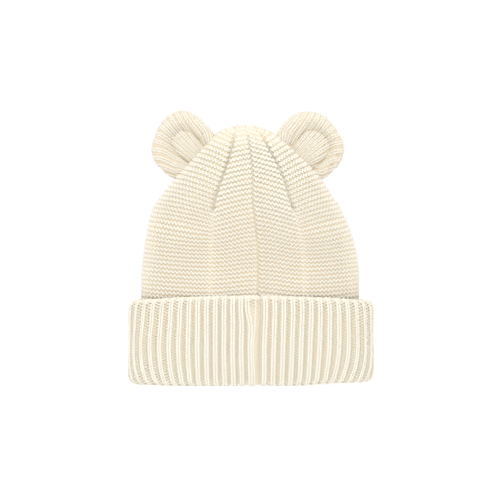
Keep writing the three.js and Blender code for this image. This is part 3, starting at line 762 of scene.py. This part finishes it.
class Ear:
    def __init__(self, side, low, high, width, height, panel, reach, shift):
        self.side = side
        self.half_width = EAR_HALF_WIDTH * width
        self.height = EAR_HEIGHT * height
        panel_height = self.height * reach
        angle = np.linspace(0, 2 * math.pi, 1441)
        self.middle = np.array([self.half_width * shift, panel_height * 0.3])
        self.rim = self.outline(angle)
        self.line = rounded_d(angle, self.half_width * panel, panel_height, 0.45, EAR_FOOT_REACH * 0.8, 2.6, 2.6)
        self.line[:, 0] += self.half_width * shift
        foot = 0.0 if side > 0 else 0.5
        ends = crown_base(np.array([foot, foot]), np.array([low, high]))
        self.origin = ends.mean(axis=0)
        self.turn = side * math.atan2(ends[1, 2] - ends[0, 2], side * (ends[0, 0] - ends[1, 0]))
        c, s = math.cos(self.turn), math.sin(self.turn)
        self.tuck = [np.array([[c, -s], [s, c]]) @ (end - self.origin[[0, 2]]) for end in (TUCK_FROM, TUCK_TO)]

    def polar(self, outline, angle):
        away = outline - self.middle
        around = np.arctan2(away[:, 1], away[:, 0])
        order = np.argsort(around)
        return np.interp(angle, around[order], np.hypot(*away.T)[order], period=2 * math.pi)

    def half(self, flat):
        """Half of the ear's thickness at a place in its own plane."""
        away = flat - self.middle
        angle = np.arctan2(away[..., 1], away[..., 0])
        distance = np.hypot(away[..., 0], away[..., 1])
        rim, line = self.polar(self.rim, angle), self.polar(self.line, angle)
        part = np.clip((rim - distance) / (rim - line), 0, 1)
        crest = 0.42
        rising = np.sqrt(np.clip(1 - (1 - np.minimum(part, crest) / crest) ** 2, 0, 1))
        low = QUILT_THICKNESS / EAR_THICKNESS
        falling = low + (1 - low) * np.cos(math.pi / 2 * np.clip((part - crest) / (1 - crest), 0, 1)) ** 0.9
        roll = np.where(part < crest, rising, falling) * EAR_THICKNESS / 2
        inside = np.clip(1 - distance / line, 0, 1)
        panel = (QUILT_THICKNESS + (PANEL_THICKNESS - QUILT_THICKNESS) * np.sin(
            math.pi / 2 * np.clip(inside / 0.35, 0, 1)) ** 1.1) / 2
        half = np.where(distance < line, panel, roll)
        if self.side > 0:
            first, second = self.tuck
            along = np.clip((flat - first) @ (second - first) / np.sum((second - first) ** 2), 0, 1)
            off = np.linalg.norm(flat - first - along[..., None] * (second - first), axis=-1)
            half = half - np.minimum(TUCK_DEPTH, half / 2) * np.exp(-(off / TUCK_WIDTH) ** 2)
        return half

    def place(self, local):
        c, s = math.cos(self.turn), math.sin(self.turn)
        x, y, z = local[..., 0], local[..., 1], local[..., 2]
        return np.stack([x * c + z * s, y, -x * s + z * c], axis=-1)

    def frame(self, flat, face):
        half = self.half(flat)
        step = 0.15 * MM
        slope = [(self.half(flat + d) - self.half(flat - d)) / (2 * step)
                 for d in (np.array([step, 0]), np.array([0, step]))]
        out = unit(np.stack([-slope[0], face * np.ones_like(half), -slope[1]], axis=-1))
        point = np.stack([flat[..., 0], face * half, flat[..., 1]], axis=-1)
        return self.place(point) + self.origin, self.place(out)

    def outline(self, angle):
        flat = rounded_d(angle, self.half_width, self.height, 0.37, EAR_FOOT_REACH, 2, 2.6)
        swell = sum(share * np.exp(-((angle - math.radians(place)) / SWELL_REACH) ** 2)
                    for place, share in EAR_SWELLS[self.side])
        centre = np.array([0, 0.37 * self.height])
        return centre + (flat - centre) * (1 + swell)[..., None]

    def rib_path(self, across, samples=90):
        """The way a line of stitches takes in the ear's plane, from its foot to the rim.

        across runs from -1 at the side towards the hat's left to 1. The outermost lines follow the rim.
        """
        fan = EAR_FAN_LOW if across * self.side > 0 else EAR_FAN_HIGH
        angle = math.pi / 2 - math.radians(fan) * across
        end = self.outline(np.array([angle]))[0]
        foot_angle = -EAR_FOOT_ANGLE if across > 0 else math.pi + EAR_FOOT_ANGLE
        corner = self.outline(np.array([foot_angle]))[0]
        start = np.array([corner[0] * abs(across) * (1 - EAR_GATHER * (1 - across ** 2)), corner[1]])
        bend = np.array([start[0], self.height * EAR_BEND * math.sqrt(max(1 - across ** 2, 0.02))])
        centre = np.array([0, self.height * 0.37])
        outward = (end - centre) / np.linalg.norm(end - centre)
        late = end - outward * EAR_ROLL * np.linalg.norm(end - bend)
        t = np.linspace(0, 1, samples)[:, None]
        inner = (1 - t) ** 3 * start + 3 * (1 - t) ** 2 * t * bend + 3 * (1 - t) * t * t * late + t ** 3 * end
        edge = self.outline(foot_angle + (angle - foot_angle) * t[:, 0])
        return inner + (edge - inner) * abs(across) ** 2.7 * smooth(t / 0.3)


def ear_shell(ear):
    angle = np.linspace(0, 2 * math.pi, 97)[:-1]
    direction = np.stack([np.cos(angle), np.sin(angle)], axis=-1)
    rim = ear.polar(ear.rim, angle)[:, None]
    line = ear.polar(ear.line, angle)[:, None]
    parts = [1 - (1 - t) ** 0.5 for t in np.linspace(0.02, 0.55, 6)] + [0.5, 0.62, 0.75, 0.88, 1.0]
    distances = [rim - (rim - line) * t for t in parts] + [line * t for t in (0.85, 0.6, 0.35, 0.12)]
    faces = []
    for face in (1, -1):
        rings = []
        for distance in distances:
            flat = ear.middle + direction * distance
            point, out = ear.frame(flat, face)
            rings.append(point - out * 0.3 * MM)
        faces.append(np.stack(rings))
    build = Builder()
    rings = np.concatenate([faces[1][::-1], faces[0]])
    count, size, _ = rings.shape
    build.loops(rings)
    build.quads[-1] = build.quads[-1].reshape(count, size, 4)[:-1].reshape(-1, 4)
    first = build.count
    build.points.append(np.stack([rings[0].mean(axis=0), rings[-1].mean(axis=0)]))
    build.count += 2
    j = np.arange(0, size, 2)
    last = (count - 1) * size
    build.quads.append(np.stack([np.full(len(j), first), (j + 2) % size, j + 1, j], axis=-1))
    build.quads.append(np.stack([np.full(len(j), first + 1), last + j, last + j + 1, last + (j + 2) % size], axis=-1))
    return build


class EarLine:
    """A line of stitches on one face of an ear, from its foot to the rim."""

    def __init__(self, ear, across, columns, face):
        beyond = [ear.rib_path(across + step / columns) for step in (-0.9, 0.9)]
        self.wide = np.linalg.norm(beyond[1] - beyond[0], axis=1) / 0.9
        self.point, self.out = ear.frame(ear.rib_path(across), face)
        self.reached = np.concatenate([[0], np.cumsum(np.linalg.norm(np.diff(self.point, axis=0), axis=1))])
        self.courses = int(self.reached[-1] / EAR_COURSE)

    def along(self, way, values):
        return np.stack([np.interp(way, self.reached, column) for column in values.T], axis=-1)

    def at(self, way):
        """Points of the line, and the ways out of the ear and across the line, and its width."""
        away = unit(self.along(way, self.out))
        step = 0.3 * MM
        ahead = self.along(way + step, self.point) - self.along(way - step, self.point)
        return self.along(way, self.point), away, unit(np.cross(ahead, away)), np.interp(way, self.reached, self.wide)


def ear_ribs(ear):
    ribs, purls = Builder(), Builder()
    columns = round(ear.half_width * 2 / EAR_COLUMN)
    for half_column in range(1, 2 * columns):
        across = half_column / columns - 1
        for face in (-1, 1):
            line = EarLine(ear, across, columns, face)
            if line.courses < 1:
                continue
            course = np.arange(line.courses)[:, None]
            jitter = rng.standard_normal((line.courses, 1))
            if half_column % 2:
                part = VEE_PART[None]
                way = np.clip((course + 1.42 * np.abs(part) - 0.1) * EAR_COURSE + 0.05 * MM * jitter, 0, line.reached[-1])
                here, away, beside, pitch = line.at(way)
                leg = np.minimum(EAR_LEG_SHARE * pitch, EAR_LEG_MOST)
                sideways = np.sign(part) * leg * np.abs(part) ** 0.3 + 0.04 * MM * jitter
                height = -0.3 * MM - 0.2 * MM * np.abs(part) ** 3 + 0.04 * MM * jitter
                radius = np.clip(pitch * EAR_STRAND_SHARE, 0.42 * MM, EAR_STRAND_MOST) * EAR_VEE_FULL
            else:
                part = BAR_PART[None]
                way = (course + 0.5 + 0 * part) * EAR_COURSE + 0.05 * MM * jitter
                here, away, beside, pitch = line.at(way)
                half = pitch / 2 - np.minimum(EAR_LEG_SHARE * pitch, EAR_LEG_MOST)
                spread = half[:, 0] > BAR_LEAST
                if not spread.any():
                    continue
                here, away, beside, half, jitter = (value[spread] for value in (here, away, beside, half, jitter))
                sideways = part * half
                height = -0.8 * MM + 0.3 * MM * (1 - part ** 2) + 0.04 * MM * jitter
                radius = BAR_RADIUS * np.ones_like(half)
            centre = here + beside * sideways[..., None] + away * height[..., None]
            (ribs if half_column % 2 else purls).tubes(centre, away, radius * (1 + 0.04 * jitter))
    return ribs, purls


# Making the pieces
def ready(piece, slot, *nodes):
    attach(piece, "root")
    if nodes:
        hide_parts(*nodes)
    return piece


crown_piece = crown_shell().mesh("crown_ground_painted_shade", ground)
ready(crown_piece, "crown_knit", "crown")
for part_name, build in crown_ridges().items():
    ready(build.mesh("crown_ridges_" + part_name, crown_yarn), "crown_knit")

brim_piece = brim_shell().mesh("brim_ground_painted_shade", brim_ground_painted_shade)
ready(brim_piece, "brim_knit", "brim")
HALVES = {"front": range(0, RIB_COUNT // 2), "back": range(RIB_COUNT // 2, RIB_COUNT)}
VALLEY_MARGIN = 1.25 * MM
for part_name, ribs in HALVES.items():
    ribs = np.array(ribs, float)[:, None, None]
    legs = Builder()
    rib_stitches(legs, lambda way: rib_share(ribs, way), len(ribs), VEE_PART, VEE_FULL)
    purls = Builder()
    plain = ribs[ribs[:, 0, 0] != SEAM_RIB]
    rib_purls(purls, lambda way: rib_share(plain, way), lambda way: rib_share(plain + 1, way), len(plain),
              VALLEY_MARGIN, VALLEY_MARGIN)
    if part_name == "back":
        rib_stitches(legs, seam_strand_share, 1, LEG_PART, LEG_FULL, spread=0.0)
        half_way = lambda way: (seam_strand_share(way) + rib_share(SEAM_RIB + 1, way)) / 2
        rib_purls(purls, lambda way: rib_share(SEAM_RIB, way), seam_strand_share, 1, VALLEY_MARGIN, 0.6 * MM)
        rib_purls(purls, seam_strand_share, half_way, 1, 0.6 * MM, 0.1 * MM)
        rib_purls(purls, half_way, lambda way: rib_share(SEAM_RIB + 1, way), 1, 0.1 * MM, VALLEY_MARGIN)
    ready(legs.mesh("brim_ribs_" + part_name, yarn), "brim_knit")
    ready(purls.mesh("brim_purls_" + part_name, valley_yarn_painted_shade), "brim_knit")
ready(brim_edge().mesh("brim_edge", yarn), "brim_knit")

for ear_name, *sizes in EARS:
    ear = Ear(*sizes)
    pad = ready(ear_shell(ear).mesh(ear_name + "_pad", ear_ground_painted_shade), "ear_knit", ear_name)
    ribs, purls = ear_ribs(ear)
    ready(ribs.mesh(ear_name + "_ribs", ear_yarn_painted_shade), "ear_knit")
    ready(purls.mesh(ear_name + "_purls", ear_valley_yarn_painted_shade), "ear_knit")

# Floor and light
floor_mesh = bpy.data.meshes.new("floor")
floor_mesh.from_pydata([(-8, -8, 0), (8, -8, 0), (8, 8, 0), (-8, 8, 0)], [], [(0, 1, 2, 3)])
floor = bpy.data.objects.new("floor", floor_mesh)
scene.collection.objects.link(floor)
floor_material = bpy.data.materials.new("floor")
floor_material.use_nodes = True
floor_shader = floor_material.node_tree.nodes["Principled BSDF"]
floor_shader.inputs["Base Color"].default_value = (0.3, 0.3, 0.3, 1)
floor_shader.inputs["Roughness"].default_value = 1
floor_shader.inputs["Specular IOR Level"].default_value = 0
floor_shader.inputs["Emission Color"].default_value = (1, 1, 1, 1)
floor_shader.inputs["Emission Strength"].default_value = 0.9
floor_mesh.materials.append(floor_material)

world = bpy.data.worlds.new("studio")
world.use_nodes = True
world.node_tree.nodes["Background"].inputs["Color"].default_value = (1, 1, 1, 1)
world.node_tree.nodes["Background"].inputs["Strength"].default_value = 1.0
scene.world = world


def area_light(name, place, target, size, power):
    data = bpy.data.lights.new(name, "AREA")
    data.shape = "DISK"
    data.size = size
    data.energy = power
    light = bpy.data.objects.new(name, data)
    light.location = place
    aim = np.array(target) - np.array(place)
    from mathutils import Vector
    light.rotation_euler = Vector(aim).to_track_quat("-Z", "Y").to_euler()
    scene.collection.objects.link(light)


area_light("key", (-0.12, -1.5, 1.6), (0, 0, 0.1), 0.9, 16)
scene.view_settings.view_transform = "Standard"
